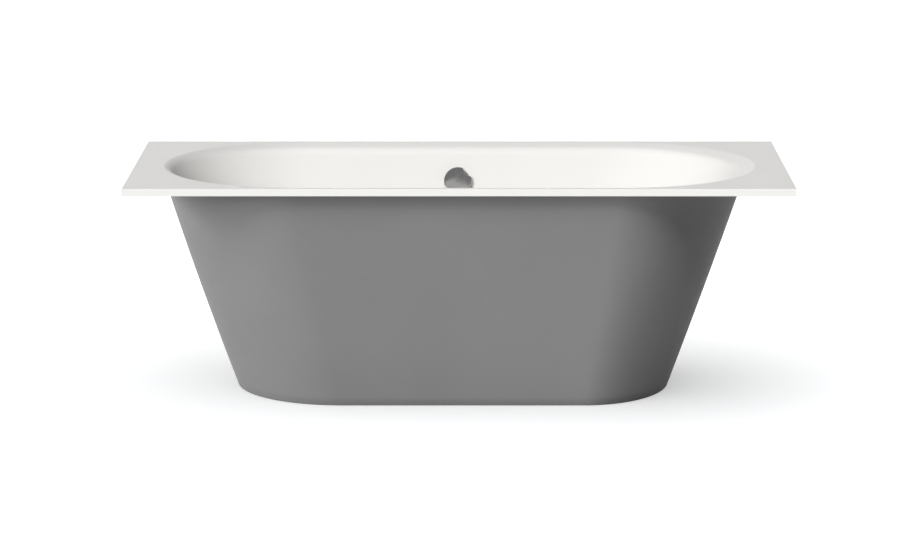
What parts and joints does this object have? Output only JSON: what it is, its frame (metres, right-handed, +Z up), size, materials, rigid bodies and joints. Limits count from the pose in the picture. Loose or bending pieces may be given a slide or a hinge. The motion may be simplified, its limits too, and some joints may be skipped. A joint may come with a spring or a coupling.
{
  "type": "built-in bathtub",
  "caption": "Oval double-ended bathtub under a thin rectangular deck, in a tapered grey casing, with a rotary overflow knob that lifts a pop-up plug.",
  "frame": {"origin": "floor point under the middle of the deck", "axes": "+X along the tub to the right, +Y across it towards the wall with the overflow, +Z up"},
  "size_m": [1.7, 0.75, 0.583],
  "materials": {
    "white_shell": "satin white mineral surface",
    "grey_casing": "matte mid-grey lacquer",
    "birch_board": "raw birch plywood",
    "galvanised_steel": "dull zinc plate",
    "chrome": "polished",
    "black_rubber": "matte",
    "grey_plastic": "moulded, slightly glossy",
    "dark_nylon": "moulded, matte"
  },
  "bodies": {
    "tub": {"basin": "white_shell", "outer_casing": "grey_casing", "base_board": "birch_board", "casing_brackets": "galvanised_steel", "bracket_screws": "galvanised_steel", "casing_studs": "galvanised_steel", "casing_nuts": "galvanised_steel", "leg_rail_left": "galvanised_steel", "leg_rail_right": "galvanised_steel", "rail_screws": "galvanised_steel", "rail_nuts": "galvanised_steel", "lock_nuts": "galvanised_steel", "overflow_faceplate": "chrome", "overflow_face_seal": "black_rubber", "overflow_back_seal": "black_rubber", "overflow_body": "grey_plastic", "overflow_pipe": "grey_plastic", "pipe_elbow": "grey_plastic", "pipe_tail": "grey_plastic", "pipe_nut_top": "dark_nylon", "pipe_nut_bottom": "dark_nylon", "bowden_cable": "dark_nylon", "cable_wire": "galvanised_steel", "cable_ties": "dark_nylon", "waste_flange": "chrome", "waste_top_seal": "black_rubber", "waste_bottom_seal": "black_rubber", "waste_body": "grey_plastic", "trap_cup": "grey_plastic", "trap_nut": "dark_nylon", "trap_seal": "black_rubber"},
    "knob": {"overflow_knob": "chrome", "knob_spindle": "galvanised_steel", "cable_drum": "dark_nylon"},
    "plug": {"plug_cap": "chrome", "plug_seal": "black_rubber", "plug_stem": "galvanised_steel"},
    "lever": {"lift_lever": "galvanised_steel"},
    "foot_fl": {"foot_spindle_fl": "galvanised_steel", "foot_pad_fl": "black_rubber"},
    "foot_fr": {"foot_spindle_fr": "galvanised_steel", "foot_pad_fr": "black_rubber"},
    "foot_bl": {"foot_spindle_bl": "galvanised_steel", "foot_pad_bl": "black_rubber"},
    "foot_br": {"foot_spindle_br": "galvanised_steel", "foot_pad_br": "black_rubber"}
  },
  "joints": [
    {"name": "knob_turn", "type": "hinge", "parent": "tub", "child": "knob", "pos_m": [-0.005, 0.30364, 0.485], "axis": [0, -0.9848, 0.1736], "range_deg": [0, 90]},
    {"name": "plug_lift", "type": "slide", "parent": "tub", "child": "plug", "axis": [0, 0, 1], "range_m": [0, 0.012]},
    {"name": "lever_tilt", "type": "hinge", "parent": "tub", "child": "lever", "pos_m": [-0.005, 0.11915, 0.0897], "axis": [-1, 0, 0], "range_deg": [0, 36.82]},
    {"name": "foot_fl_screw", "type": "slide", "parent": "tub", "child": "foot_fl", "axis": [0, 0, 1], "range_m": [-0.012, 0.008]},
    {"name": "foot_fr_screw", "type": "slide", "parent": "tub", "child": "foot_fr", "axis": [0, 0, 1], "range_m": [-0.012, 0.008]},
    {"name": "foot_bl_screw", "type": "slide", "parent": "tub", "child": "foot_bl", "axis": [0, 0, 1], "range_m": [-0.012, 0.008]},
    {"name": "foot_br_screw", "type": "slide", "parent": "tub", "child": "foot_br", "axis": [0, 0, 1], "range_m": [-0.012, 0.008]}
  ],
  "couplings": [
    {"joint": "plug_lift", "follows": "knob_turn", "m_per_rad": 0.007639},
    {"joint": "lever_tilt", "follows": "knob_turn", "ratio": 0.40905}
  ]
}
